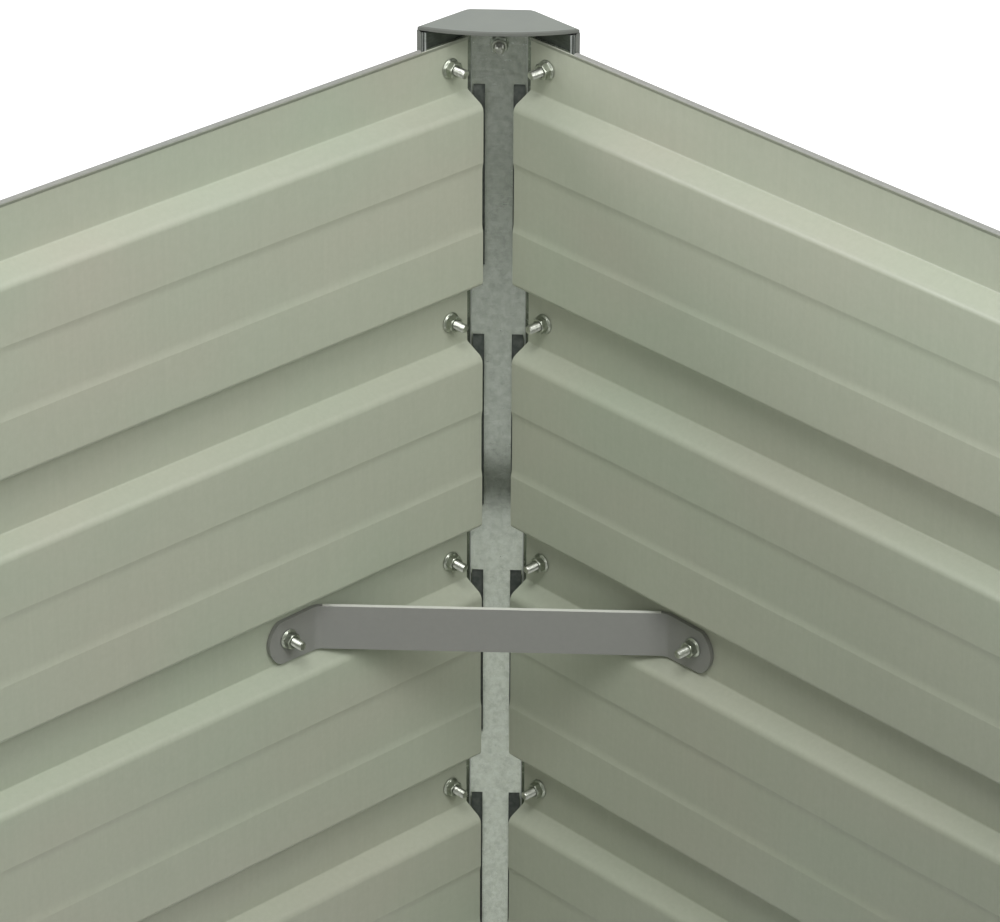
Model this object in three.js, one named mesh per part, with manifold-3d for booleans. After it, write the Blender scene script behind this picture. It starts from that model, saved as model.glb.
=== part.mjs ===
// Raised garden bed: four ribbed steel wall panels bolted to four chamfered corner posts.
// Each post is a galvanised inner channel with relief windows behind the panels' ribs and a
// painted cover outside it. A hood caps the post and a flat bar braces the corner half way up.
// Millimetres, +Z up, origin on the ground under the middle of the bed.

import * as THREE from 'three';
import { mergeVertices } from 'three/addons/utils/BufferGeometryUtils.js';
import Module from 'manifold-3d';

// ---------------------------------------------------------------- driving dimensions

// The bed, over the faces of its post covers.
const BED_LENGTH = 1200;
const BED_WIDTH = 800;

// Wall panel: RIB_COUNT broad ribs pressed inward between narrow bolting strips.
const SHEET = 0.8;
const RIB_COUNT = 4;
const STRIP = 31;
const SLOPE = 7;
const CREST = 99.7;
const RIB_DEPTH = 12;
const RIB_BEND = 1.5;
const GROOVE_DEPTH = 0.8;
const GROOVE_FLOOR = 33;
const GROOVE_MOUTH = 39;
const HEM_LEAF = 9;
const HEM_BEND = 0.9;
const HEM_WIDTH = 1.9;
const HEM_NOTCH = 36;

// Corner post: a web across the corner and two flanges at 45 degrees, measured on the inside.
const WEB = 28.8;
const POST_SHEET = 1.5;
const COVER_SHEET = 1;
const FLANGE = 31.2;
const COVER_FLANGE = 31.8;
const POST_BEND = 1;
const POST_RISE = 7.7;
const PANEL_SETBACK = 3.6;
const WINDOW_INNER = 7.3;
const WINDOW_OUTER = 13.4;
const WINDOW_HEIGHT = 103.5;
const WINDOW_PITCH = 143.8;
const WINDOW_DROP = 29.2;

// Hood on the post. Its skirt drops lower on the chamfer, where one bolt holds it.
const CAP_WALL = 2.2;
const CAP_LEG = 32.5;
const CAP_BOW = 6.5;
const CAP_BEVEL = 0.8;
const CAP_BEND_STEPS = 3;
const CAP_BOW_STEPS = 6;
const CAP_SKIRT = 18;
const CAP_TONGUE = 27;
const CAP_TONGUE_HALF = 13;
const CAP_TONGUE_ROUND = 3;
const CAP_BOLT_DROP = 6.3;

// Flat bar across the corner, in the middle bolting strip.
const BRACE_SHEET = 2.5;
const BRACE_HEIGHT = 26;
const BRACE_START = 113;
const BRACE_END = 146.3;
const BRACE_HOLE = 133.7;
const BRACE_BEND = 8;
const BRACE_BEND_STEPS = 3;
const BRACE_DROP = 1.4;
const BRACE_TIP = 8;

// M5 x 16 pan head bolt and M5 flange nut.
const SHANK_RADIUS = 2.5;
const SHANK_LENGTH = 16;
const HEAD_RADIUS = 4.6;
const HEAD_HEIGHT = 2.6;
const NUT_FLATS = 8;
const NUT_HEIGHT = 5;
const NUT_FLANGE_RADIUS = 5.8;
const NUT_FLANGE_HEIGHT = 1.6;
const NUT_BORE_RADIUS = 2.8;
const HOLE_RADIUS = 3;
const BOLT_FROM_FOLD = 15.9;
const HEAD_SIDES = 8;
const SHANK_SIDES = 6;

// Play between pieces that are drawn up against each other.
const PLAY = 0.3;

// ---------------------------------------------------------------- derived sizes

const HALF_TURN = Math.PI;
const COS45 = Math.SQRT1_2;
const TAN22 = Math.tan(Math.PI / 8);
const RIB_PITCH = STRIP + SLOPE + CREST + SLOPE;
const PANEL_HEIGHT = RIB_COUNT * RIB_PITCH + STRIP;
const POST_HEIGHT = PANEL_HEIGHT + POST_RISE;

// Offsets from the flange's inner face: outward for the post, inward for panel and brace.
const COVER_INNER = POST_SHEET + PLAY;
const COVER_OUTER = COVER_INNER + COVER_SHEET;
const CAP_INNER = COVER_OUTER + PLAY;
const CAP_OUTER = CAP_INNER + CAP_WALL;
const PANEL_FACE = PLAY + SHEET;
const BRACE_BACK = PANEL_FACE + PLAY;
const BRACE_FACE = BRACE_BACK + BRACE_SHEET;

// Flange planes and the cut that the chamfer takes off each wall.
const FLANGE_X = BED_LENGTH / 2 - COVER_OUTER;
const FLANGE_Y = BED_WIDTH / 2 - COVER_OUTER;
const CHAMFER = WEB * COS45;

const BOLT_ROWS = Array.from({ length: RIB_COUNT + 1 }, (_, row) => STRIP / 2 + row * RIB_PITCH);
const BRACE_BOLT_Z = BOLT_ROWS[RIB_COUNT / 2];
const BRACE_Z = BRACE_BOLT_Z - BRACE_DROP;
const CAP_BOLT_Z = PANEL_HEIGHT - CAP_BOLT_DROP;
const CAP_UNDERSIDE = POST_HEIGHT + PLAY;
const CAP_TOP = CAP_UNDERSIDE + CAP_WALL;

// ---------------------------------------------------------------- materials

function finish(colour, roughness, metalness) {
  return new THREE.MeshStandardMaterial({ color: colour, roughness, metalness });
}

const sagePaint = () => finish(0x9fa48e, 0.55, 0.1);
const greyPaint = () => finish(0x7d807b, 0.5, 0.1);
const hoodGrey = () => finish(0x8c918c, 0.55, 0);
const galvanised = () => finish(0x8d918e, 0.4, 0.85);
const zincPlate = () => finish(0xc4c6c4, 0.28, 0.95);

// ---------------------------------------------------------------- solids

const wasm = await Module();
wasm.setup();

function solidOf(geometry) {
  const bare = geometry.clone();
  bare.deleteAttribute('normal');
  bare.deleteAttribute('uv');
  const welded = mergeVertices(bare, 1e-4);
  const vertProperties = new Float32Array(welded.attributes.position.array);
  const triVerts = new Uint32Array(welded.index.array);
  return new wasm.Manifold(new wasm.Mesh({ numProp: 3, vertProperties, triVerts }));
}

function geometryOf(solid) {
  const mesh = solid.getMesh();
  const geometry = new THREE.BufferGeometry();
  geometry.setAttribute('position', new THREE.BufferAttribute(mesh.vertProperties, 3));
  geometry.setIndex(new THREE.BufferAttribute(mesh.triVerts, 1));
  geometry.computeVertexNormals();
  return geometry;
}

function join(first, ...others) {
  return geometryOf(others.reduce((whole, piece) => whole.add(solidOf(piece)), solidOf(first)));
}

function cut(base, ...tools) {
  return geometryOf(tools.reduce((left, tool) => left.subtract(solidOf(tool)), solidOf(base)));
}

function overlapOf(first, second) {
  return geometryOf(solidOf(first).intersect(solidOf(second)));
}

/** Extrudes a shape along +Z, from z = low to z = high. */
function prism(shape, low, high, curveSegments = 1) {
  const options = { depth: high - low, bevelEnabled: false, curveSegments };
  return new THREE.ExtrudeGeometry(shape, options).translate(0, 0, low);
}

/** A box between two corners. */
function block(low, high) {
  const size = new THREE.Vector3().subVectors(high, low);
  const middle = new THREE.Vector3().addVectors(low, high).multiplyScalar(0.5);
  return new THREE.BoxGeometry(size.x, size.y, size.z).translate(middle.x, middle.y, middle.z);
}

/** A drill along Y, long enough for any one sheet. */
function drill(length = 8) {
  return new THREE.CylinderGeometry(HOLE_RADIUS, HOLE_RADIUS, length, SHANK_SIDES);
}

/** Points along an arc, both ends included. */
function arcPoints(centre, radius, from, to, steps) {
  return Array.from({ length: steps + 1 }, (_, step) => {
    const angle = from + (to - from) * step / steps;
    return new THREE.Vector2(radius * Math.cos(angle), radius * Math.sin(angle)).add(centre);
  });
}

/** The arc that rounds corner i of a bent line of {x, y, bend} points. */
function bendAt(line, i) {
  const corner = new THREE.Vector2(line[i].x, line[i].y);
  const before = new THREE.Vector2(line[i - 1].x, line[i - 1].y);
  const after = new THREE.Vector2(line[i + 1].x, line[i + 1].y);
  const arriving = corner.clone().sub(before).normalize();
  const leaving = after.clone().sub(corner).normalize();
  const turn = Math.atan2(arriving.cross(leaving), arriving.dot(leaving));
  const side = Math.sign(turn);
  const bend = line[i].bend;
  const start = corner.clone().addScaledVector(arriving, -bend * Math.tan(Math.abs(turn) / 2));
  const centre = new THREE.Vector2(-arriving.y, arriving.x).multiplyScalar(side * bend).add(start);
  const from = Math.atan2(start.y - centre.y, start.x - centre.x);
  return { corner, arriving, leaving, turn, side, bend, centre, from, to: from + turn };
}

/** One corner of a sheet's face, offset from its centreline to the left (+) or right (-). */
function facePoints(at, offset, steps) {
  if (at.bend) {
    return arcPoints(at.centre, at.bend - at.side * offset, at.from, at.to, steps);
  }
  const middle = at.arriving.clone().add(at.leaving).normalize();
  const reach = offset / Math.cos(at.turn / 2);
  return [new THREE.Vector2(-middle.y, middle.x).multiplyScalar(reach).add(at.corner)];
}

/** The cross-section of a sheet bent along a centreline of {x, y, bend} points. */
function sheetSection(line, thickness, bendSteps = 1) {
  const corners = line.slice(1, -1).map((_, i) => bendAt(line, i + 1));
  const face = (offset) => {
    const end = (point, along) => new THREE.Vector2(-along.y, along.x).multiplyScalar(offset).add(point);
    const start = end(line[0], corners[0].arriving);
    const finish = end(line[line.length - 1], corners[corners.length - 1].leaving);
    return [start, ...corners.flatMap((at) => facePoints(at, offset, bendSteps)), finish];
  };
  return new THREE.Shape([...face(thickness / 2), ...face(-thickness / 2).reverse()]);
}

// ---------------------------------------------------------------- wall panel
// A wall's own frame: X along the wall, +Y out of the bed, y = 0 on the flange's inner face.

/** The panel's centreline from the bottom hem to the top hem, as x = outward, y = height. */
function panelLine() {
  const strip = -(PLAY + SHEET / 2);
  const crest = strip - RIB_DEPTH;
  const leaf = strip + HEM_WIDTH;
  const foot = SHEET / 2;
  const head = PANEL_HEIGHT - SHEET / 2;
  const line = [{ x: leaf, y: HEM_LEAF }];
  line.push({ x: leaf, y: foot, bend: HEM_BEND }, { x: strip, y: foot, bend: HEM_BEND });
  for (let rib = 0; rib < RIB_COUNT; rib += 1) {
    const base = STRIP + rib * RIB_PITCH;
    const middle = base + SLOPE + CREST / 2;
    line.push({ x: strip, y: base, bend: RIB_BEND });
    line.push({ x: crest, y: base + SLOPE, bend: RIB_BEND });
    line.push({ x: crest, y: middle - GROOVE_MOUTH / 2 });
    line.push({ x: crest + GROOVE_DEPTH, y: middle - GROOVE_FLOOR / 2 });
    line.push({ x: crest + GROOVE_DEPTH, y: middle + GROOVE_FLOOR / 2 });
    line.push({ x: crest, y: middle + GROOVE_MOUTH / 2 });
    line.push({ x: crest, y: base + SLOPE + CREST, bend: RIB_BEND });
    line.push({ x: strip, y: base + 2 * SLOPE + CREST, bend: RIB_BEND });
  }
  line.push({ x: strip, y: head, bend: HEM_BEND }, { x: leaf, y: head, bend: HEM_BEND });
  line.push({ x: leaf, y: PANEL_HEIGHT - HEM_LEAF });
  return line;
}

/** Clears the folded leaf of a hem where the panel lies on the post. */
function hemNotch(foldX, side, low, high) {
  const inner = side * (foldX - HEM_NOTCH);
  const outer = side * (foldX + 1);
  const near = new THREE.Vector3(Math.min(inner, outer), -PLAY, low);
  const far = new THREE.Vector3(Math.max(inner, outer), HEM_WIDTH + 2, high);
  return block(near, far);
}

/** One wall panel; foldX is half the distance between the two posts' folds. */
function panelGeometry(foldX) {
  const halfLength = foldX - PANEL_SETBACK;
  const alongWall = new THREE.Matrix4().makeBasis(
    new THREE.Vector3(0, 1, 0),
    new THREE.Vector3(0, 0, 1),
    new THREE.Vector3(1, 0, 0),
  );
  const sheet = prism(sheetSection(panelLine(), SHEET), -halfLength, halfLength).applyMatrix4(alongWall);
  const tools = [];
  for (const side of [-1, 1]) {
    tools.push(hemNotch(foldX, side, -1, HEM_LEAF + 1));
    tools.push(hemNotch(foldX, side, PANEL_HEIGHT - HEM_LEAF - 1, PANEL_HEIGHT + 1));
    for (const row of BOLT_ROWS) {
      tools.push(drill().translate(side * (foldX - BOLT_FROM_FOLD), 0, row));
    }
    tools.push(drill().translate(side * (foldX - BRACE_HOLE), 0, BRACE_BOLT_Z));
  }
  return cut(sheet, ...tools);
}

// ---------------------------------------------------------------- corner pieces
// A corner's own frame: +Y out of the bed along the diagonal, y = 0 on the web's inner face.

/** A point beside a flange: side -1 or 1, along it from the fold, and inward off its face. */
function besideFlange(side, along, inward, z = 0) {
  const x = side * (WEB / 2 + (along - inward) * COS45);
  return new THREE.Vector3(x, -(along + inward) * COS45, z);
}

/** Turns a piece made along Y so that +Y becomes the flange's outward direction. */
const flangeTurn = (side) => -side * Math.PI / 4;

/** The centreline of a channel that follows the post at an outward offset. */
function channelLine(offset, legLength) {
  const foldX = WEB / 2 + offset * TAN22;
  const bend = POST_BEND + offset;
  const tips = [-1, 1].map((side) => besideFlange(side, legLength, -offset));
  return [tips[0], { x: -foldX, y: offset, bend }, { x: foldX, y: offset, bend }, tips[1]];
}

/** Drills square to a flange, at each bolt row. */
function flangeDrills() {
  const drills = [];
  for (const side of [-1, 1]) {
    for (const row of BOLT_ROWS) {
      const at = besideFlange(side, BOLT_FROM_FOLD, 0, row);
      drills.push(drill().rotateZ(flangeTurn(side)).translate(at.x, at.y, at.z));
    }
  }
  return drills;
}

const capBoltDrill = () => drill(16).translate(0, 0, CAP_BOLT_Z);

/** Relief windows in the web, a pair behind the panels' ends at every rib, from the top down. */
function webWindows() {
  const windows = [];
  for (let pair = 0; pair < RIB_COUNT; pair += 1) {
    const top = PANEL_HEIGHT - WINDOW_DROP - pair * WINDOW_PITCH;
    for (const side of [-1, 1]) {
      const reach = [side * WINDOW_INNER, side * WINDOW_OUTER].sort((a, b) => a - b);
      const low = new THREE.Vector3(reach[0], -1, top - WINDOW_HEIGHT);
      const high = new THREE.Vector3(reach[1], POST_SHEET + 1, top);
      windows.push(block(low, high));
    }
  }
  return windows;
}

function innerPostGeometry() {
  const section = sheetSection(channelLine(POST_SHEET / 2, FLANGE), POST_SHEET);
  return cut(prism(section, 0, POST_HEIGHT), ...flangeDrills(), ...webWindows(), capBoltDrill());
}

/** The painted cover, with the ten wall bolts and their nuts drawn up on it as one piece. */
function outerPostGeometry() {
  const section = sheetSection(channelLine(COVER_INNER + COVER_SHEET / 2, COVER_FLANGE), COVER_SHEET);
  const shell = cut(prism(section, 0, POST_HEIGHT), capBoltDrill());
  const fasteners = [];
  for (const side of [-1, 1]) {
    for (const row of BOLT_ROWS) {
      const at = besideFlange(side, BOLT_FROM_FOLD, 0, row);
      const bolt = boltGeometry().translate(0, COVER_OUTER, 0);
      const nut = nutBody().translate(0, -BRACE_BACK, 0);
      fasteners.push(join(bolt, nut).rotateZ(flangeTurn(side)).translate(at.x, at.y, at.z));
    }
  }
  return join(shell, ...fasteners);
}

/** Outline of the hood's top: the post's outside, closed by a bowed edge over the bed. */
function capOutline() {
  const tip = besideFlange(1, CAP_LEG, -CAP_OUTER);
  const bendX = WEB / 2 - POST_BEND * TAN22;
  const bend = POST_BEND + CAP_OUTER;
  const bowRadius = (tip.x ** 2 + CAP_BOW ** 2) / (2 * CAP_BOW);
  const bowCentre = new THREE.Vector2(0, tip.y - CAP_BOW + bowRadius);
  const bowAngle = Math.asin(tip.x / bowRadius);
  const back = Math.PI / 2;
  const corner = (x, from) => {
    return arcPoints(new THREE.Vector2(x, -POST_BEND), bend, from, from + back / 2, CAP_BEND_STEPS);
  };
  const bow = arcPoints(bowCentre, bowRadius, -back - bowAngle, bowAngle - back, CAP_BOW_STEPS);
  return new THREE.Shape([...corner(bendX, back / 2), ...corner(-bendX, back), ...bow]);
}

/** What the skirt's lower edge leaves out beside the chamfer's tongue. */
function skirtRelief(side) {
  const low = CAP_TOP - CAP_TONGUE - 1;
  const high = CAP_TOP - CAP_SKIRT;
  const edge = CAP_TONGUE_HALF;
  const round = CAP_TONGUE_ROUND;
  const shape = new THREE.Shape();
  shape.moveTo(side * edge, low);
  shape.lineTo(side * edge, high - round);
  shape.quadraticCurveTo(side * edge, high, side * (edge + round), high);
  shape.lineTo(side * 60, high);
  shape.lineTo(side * 60, low);
  return prism(shape, -40, 40, 3).rotateX(HALF_TURN / 2);
}

function capGeometry() {
  const plateOptions = {
    depth: CAP_WALL - 2 * CAP_BEVEL,
    bevelThickness: CAP_BEVEL,
    bevelSize: CAP_BEVEL,
    bevelOffset: -CAP_BEVEL,
    bevelSegments: 1,
  };
  const plate = new THREE.ExtrudeGeometry(capOutline(), plateOptions);
  plate.translate(0, 0, CAP_UNDERSIDE + CAP_BEVEL);
  const line = channelLine(CAP_INNER + CAP_WALL / 2, CAP_LEG);
  const section = sheetSection(line, CAP_WALL, CAP_BEND_STEPS);
  const skirt = prism(section, CAP_TOP - CAP_TONGUE, CAP_TOP - CAP_WALL / 2);
  const trimmed = cut(skirt, skirtRelief(-1), skirtRelief(1), capBoltDrill());
  return join(plate, trimmed);
}

/** The flat bar, cut to round ends as seen square to the corner. */
function braceGeometry() {
  const offset = BRACE_BACK + BRACE_SHEET / 2;
  const line = [
    besideFlange(-1, BRACE_END, offset),
    { ...besideFlange(-1, BRACE_START, offset), bend: BRACE_BEND },
    { ...besideFlange(1, BRACE_START, offset), bend: BRACE_BEND },
    besideFlange(1, BRACE_END, offset),
  ];
  const half = BRACE_HEIGHT / 2;
  const section = sheetSection(line, BRACE_SHEET, BRACE_BEND_STEPS);
  const bar = prism(section, BRACE_Z - half, BRACE_Z + half);
  const tipX = besideFlange(1, BRACE_END, offset).x;
  const tipDepth = BRACE_TIP * COS45;
  const face = new THREE.Shape();
  face.moveTo(-tipX + tipDepth, -half - 1);
  face.lineTo(tipX - tipDepth, -half - 1);
  face.quadraticCurveTo(tipX + tipDepth, 0, tipX - tipDepth, half + 1);
  face.lineTo(-tipX + tipDepth, half + 1);
  face.quadraticCurveTo(-tipX - tipDepth, 0, -tipX + tipDepth, -half - 1);
  const outline = prism(face, -130, 130, 6).rotateX(HALF_TURN / 2).translate(0, 0, BRACE_Z);
  const drills = [-1, 1].map((side) => {
    const at = besideFlange(side, BRACE_HOLE, offset, BRACE_BOLT_Z);
    return drill().rotateZ(flangeTurn(side)).translate(at.x, at.y, at.z);
  });
  return cut(overlapOf(bar, outline), ...drills);
}

// ---------------------------------------------------------------- fasteners, along Y

/** Pan head bolt: the head's seat is at y = 0, the head outside (+Y), the shank inward. */
function boltGeometry() {
  const profile = new THREE.Path();
  profile.moveTo(0, 0);
  profile.lineTo(HEAD_RADIUS, 0);
  profile.quadraticCurveTo(HEAD_RADIUS, HEAD_HEIGHT, 0, HEAD_HEIGHT);
  const head = new THREE.LatheGeometry(profile.getPoints(2), HEAD_SIDES);
  const reach = SHANK_LENGTH + HEAD_HEIGHT / 2;
  const shank = new THREE.CylinderGeometry(SHANK_RADIUS, SHANK_RADIUS, reach, SHANK_SIDES);
  shank.translate(0, HEAD_HEIGHT / 2 - reach / 2, 0);
  return join(head, shank);
}

/** Flange nut without its bore: seat at y = 0, body inward (-Y), the flange as a flared foot. */
function nutBody() {
  const hexRadius = NUT_FLATS / 2 / Math.cos(Math.PI / 6);
  const profile = [
    new THREE.Vector2(0, -NUT_HEIGHT),
    new THREE.Vector2(hexRadius, -NUT_HEIGHT),
    new THREE.Vector2(hexRadius, -NUT_FLANGE_HEIGHT),
    new THREE.Vector2(NUT_FLANGE_RADIUS, 0),
    new THREE.Vector2(0, 0),
  ];
  return new THREE.LatheGeometry(profile, 6);
}

function nutGeometry() {
  const length = 3 * NUT_HEIGHT;
  return cut(nutBody(), new THREE.CylinderGeometry(NUT_BORE_RADIUS, NUT_BORE_RADIUS, length, SHANK_SIDES));
}

// ---------------------------------------------------------------- assembly

function piece(name, geometry, material, position = new THREE.Vector3(), turn = 0) {
  const mesh = new THREE.Mesh(geometry, material);
  mesh.name = name;
  mesh.position.copy(position);
  mesh.rotation.z = turn;
  return mesh;
}

function wall(name, foldX, position, turn) {
  const group = new THREE.Group();
  group.position.copy(position);
  group.rotation.z = turn;
  group.add(piece(name, panelGeometry(foldX), sagePaint()));
  return group;
}

/** One corner: post, cover, hood, brace and the fasteners that are pieces of their own. */
function corner(name, signX, signY, parts) {
  const group = new THREE.Group();
  group.position.set(signX * (FLANGE_X - CHAMFER / 2), signY * (FLANGE_Y - CHAMFER / 2), 0);
  group.rotation.z = Math.atan2(signY, signX) - Math.PI / 2;
  group.add(piece(`inner_post_${name}`, parts.innerPost, galvanised()));
  group.add(piece(`outer_post_${name}`, parts.outerPost, greyPaint()));
  group.add(piece(`post_cap_${name}`, parts.cap, hoodGrey()));
  group.add(piece(`corner_brace_${name}`, parts.brace, greyPaint()));
  const capHead = new THREE.Vector3(0, CAP_OUTER + PLAY, CAP_BOLT_Z);
  group.add(piece(`cap_bolt_${name}`, parts.bolt, zincPlate(), capHead));
  group.add(piece(`cap_nut_${name}`, parts.nut, zincPlate(), new THREE.Vector3(0, -PLAY, CAP_BOLT_Z)));
  for (const [label, side] of [['a', -1], ['b', 1]]) {
    const seat = besideFlange(side, BRACE_HOLE, 0, BRACE_BOLT_Z);
    const nutSeat = besideFlange(side, BRACE_HOLE, BRACE_FACE + PLAY, BRACE_BOLT_Z);
    group.add(piece(`brace_bolt_${label}_${name}`, parts.bolt, zincPlate(), seat, flangeTurn(side)));
    group.add(piece(`brace_nut_${label}_${name}`, parts.nut, zincPlate(), nutSeat, flangeTurn(side)));
  }
  return group;
}

const bed = new THREE.Group();
const quarter = Math.PI / 2;
const foldX = FLANGE_X - CHAMFER;
const foldY = FLANGE_Y - CHAMFER;
bed.add(wall('rear_panel', foldX, new THREE.Vector3(0, FLANGE_Y, 0), 0));
bed.add(wall('front_panel', foldX, new THREE.Vector3(0, -FLANGE_Y, 0), HALF_TURN));
bed.add(wall('right_panel', foldY, new THREE.Vector3(FLANGE_X, 0, 0), -quarter));
bed.add(wall('left_panel', foldY, new THREE.Vector3(-FLANGE_X, 0, 0), quarter));

const cornerParts = {
  innerPost: innerPostGeometry(),
  outerPost: outerPostGeometry(),
  cap: capGeometry(),
  brace: braceGeometry(),
  bolt: boltGeometry(),
  nut: nutGeometry(),
};
bed.add(corner('rear_right', 1, 1, cornerParts));
bed.add(corner('rear_left', -1, 1, cornerParts));
bed.add(corner('front_left', -1, -1, cornerParts));
bed.add(corner('front_right', 1, -1, cornerParts));

export default bed;
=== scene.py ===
"""Looks of a raised garden bed: ribbed steel panels bolted to four capped corner posts.

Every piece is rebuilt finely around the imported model. Shapes are drawn in millimetres, in a
wall's or a corner's own frame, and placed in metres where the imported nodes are.
"""

import math

import bpy
import numpy as np
from mathutils import Matrix, Vector


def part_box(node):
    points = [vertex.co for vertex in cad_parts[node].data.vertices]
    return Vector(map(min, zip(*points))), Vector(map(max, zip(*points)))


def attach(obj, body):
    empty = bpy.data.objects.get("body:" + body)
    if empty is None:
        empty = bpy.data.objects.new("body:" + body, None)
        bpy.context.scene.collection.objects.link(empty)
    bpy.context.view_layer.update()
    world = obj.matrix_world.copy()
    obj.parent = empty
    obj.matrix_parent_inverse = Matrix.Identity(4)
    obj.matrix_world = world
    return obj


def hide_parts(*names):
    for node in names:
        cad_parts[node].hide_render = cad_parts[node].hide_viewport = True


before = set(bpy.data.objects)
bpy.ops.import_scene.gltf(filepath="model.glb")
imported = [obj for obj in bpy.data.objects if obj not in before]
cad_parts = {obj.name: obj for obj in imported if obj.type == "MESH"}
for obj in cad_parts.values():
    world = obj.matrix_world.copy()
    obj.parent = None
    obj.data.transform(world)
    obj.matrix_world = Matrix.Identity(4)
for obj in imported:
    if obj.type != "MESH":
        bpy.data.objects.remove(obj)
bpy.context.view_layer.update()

MM = 0.001
COS45 = math.sqrt(0.5)
TAN22 = math.tan(math.pi / 8)
CORNERS = {
    "rear_right": (1, 1),
    "rear_left": (-1, 1),
    "front_left": (-1, -1),
    "front_right": (1, -1),
}

# ---------------------------------------------------------------- dimensions, millimetres

# Sheet stack at a post's flange: cap, cover, post, panel and brace, from outside to inside.
POST_SHEET = 1.5
COVER_SHEET = 1.0
CAP_WALL = 2.2
PANEL_SHEET = 0.8
BRACE_SHEET = 2.5
PLAY = 0.3
COVER_INNER = POST_SHEET + PLAY
COVER_OUTER = COVER_INNER + COVER_SHEET
CAP_INNER = COVER_OUTER + PLAY
CAP_OUTER = CAP_INNER + CAP_WALL
PANEL_FACE = PLAY + PANEL_SHEET
BRACE_BACK = PANEL_FACE + PLAY
BRACE_FACE = BRACE_BACK + BRACE_SHEET

# Ribbed panel: upright strips, slopes and crests, with a shallow groove along each crest.
RIB_COUNT = 4
STRIP = 31.0
SLOPE = 7.0
CREST = 99.7
RIB_DEPTH = 12.0
RIB_BEND = 1.5
CREST_FOOT_BEND = 2.6
CREST_HEAD_BEND = 4.5
CREST_FOOT_DROP = 0.4
CREST_HEAD_LIFT = 1.0
GROOVE_DEPTH = 0.7
GROOVE_FLOOR = 33.0
GROOVE_MOUTH = 39.4
GROOVE_LIP = 1.0
GROOVE_BEND = 20.0
PANEL_BEND_STEPS = 6
PANEL_CELLS = 48
RIB_PITCH = STRIP + 2 * SLOPE + CREST
BOLT_ROWS = [STRIP / 2 + row * RIB_PITCH for row in range(RIB_COUNT + 1)]

# Hems: the sheet is folded out and down, and notched beside the posts. The top hem has a bead
# towards the bed, with a neck below it that fades into the strip.
HEM_LEAF = 9.0
HEM_BEND = 0.9
HEM_WIDTH = 1.9
HEM_NOTCH = 36.0
NOTCH_CELLS = 4
TOP_HEM_WIDTH = 1.3
TOP_HEM_BEND = 0.8
BEAD = 0.9
BEAD_HEIGHT = 1.05
BEAD_BEND = 0.5
NECK_HEIGHT = 2.7
NECK_SINK = 0.12
NECK_BEND = 1.5
NECK_FADE = 8.0
NECK_FADE_BEND = 40.0

# Slack of a panel between its bolted ends: a short and a long wave, along and up the wall.
SLACK = 0.16
SLACK_FADE = 120.0
SHORT_WAVE_ALONG, SHORT_WAVE_UP = 83, 61
LONG_WAVE_ALONG, LONG_WAVE_UP = 191, 240
LONG_WAVE_SHARE = 0.6

# Corner post, its windows and its cover.
WEB = 28.8
CHAMFER = WEB * COS45
FLANGE = 31.2
COVER_FLANGE = 31.8
POST_BEND = 1.0
CHANNEL_BEND_STEPS = 5
COVER_CELLS = 8
WINDOW_INNER = 7.3
WINDOW_OUTER = 13.4
WINDOW_HEIGHT = 103.5
WINDOW_PITCH = 143.8
WINDOW_DROP = 29.2
BOLT_FROM_FOLD = 15.9

# Cap.
CAP_LEG = 32.5
CAP_BOW = 6.5
CAP_SKIRT = 18.0
CAP_TONGUE = 27.0
CAP_TONGUE_HALF = 13.0
CAP_TONGUE_ROUND = 3.0
CAP_TONGUE_MARK = 0.4
CAP_BEVEL = 0.7
CAP_BEVEL_STEPS = 4
CAP_BEND_STEPS = 8
CAP_BOW_STEPS = 24
CAP_EDGE_ROUND = 0.25
CAP_BOLT_DROP = 6.3

# Brace.
BRACE_HEIGHT = 26.0
BRACE_START = 113.0
BRACE_END = 146.3
BRACE_HOLE = 133.7
BRACE_BEND = 8.0
BRACE_BEND_STEPS = 8
BRACE_DROP = 1.4
BRACE_TIP = 8.0
BRACE_TIP_STEPS = 12
BRACE_TIP_FLAT = 0.6
BRACE_TIP_SPARE = 1.0
BRACE_TIP_POWER = 10
BRACE_CELLS = 4
# From this share of the brace's half height up, its cut edge takes the painted highlight.
BRACE_HIGHLIGHT_FROM = 0.9
BRACE_EDGE_ROUND = 0.45

# M5 x 16 pan head bolt and its flange nut.
SHANK = 2.5
SHANK_LENGTH = 16.0
SHANK_POINT = 0.7
SHANK_POINT_HEIGHT = 0.5
THREAD_PITCH = 0.8
THREAD_DEPTH = 0.42
THREAD_STEPS = 6
THREAD_END = -6.4
HEAD_RADIUS = 4.6
HEAD_HEIGHT = 2.6
HEAD_TOP = 2.3
RECESS_ARM = 1.9
RECESS_HALF = 0.55
RECESS_TAPER = 0.75
BOLT_SIDES = 32
NUT_FLATS = 8.0
NUT_HEIGHT = 5.0
NUT_FLANGE_RADIUS = 5.4
CAP_NUT_FLANGE_RADIUS = 4.7
NUT_FLANGE_HEIGHT = 1.2
NUT_BORE = 2.45
NUT_SIDES = 48

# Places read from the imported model.
post_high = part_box("inner_post_rear_right")[1]
panel_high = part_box("rear_panel")[1]
FLANGE_X = post_high.x / MM - POST_SHEET
FLANGE_Y = post_high.y / MM - POST_SHEET
POST_HEIGHT = post_high.z / MM
PANEL_HEIGHT = panel_high.z / MM
FOLD_X = FLANGE_X - CHAMFER
FOLD_Y = FLANGE_Y - CHAMFER
PANEL_SETBACK = FOLD_X - panel_high.x / MM
BRACE_BOLT_Z = BOLT_ROWS[RIB_COUNT // 2]
BRACE_Z = BRACE_BOLT_Z - BRACE_DROP
CAP_BOLT_Z = PANEL_HEIGHT - CAP_BOLT_DROP
CAP_UNDERSIDE = POST_HEIGHT + PLAY
CAP_TOP = CAP_UNDERSIDE + CAP_WALL


# ---------------------------------------------------------------- camera

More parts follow.
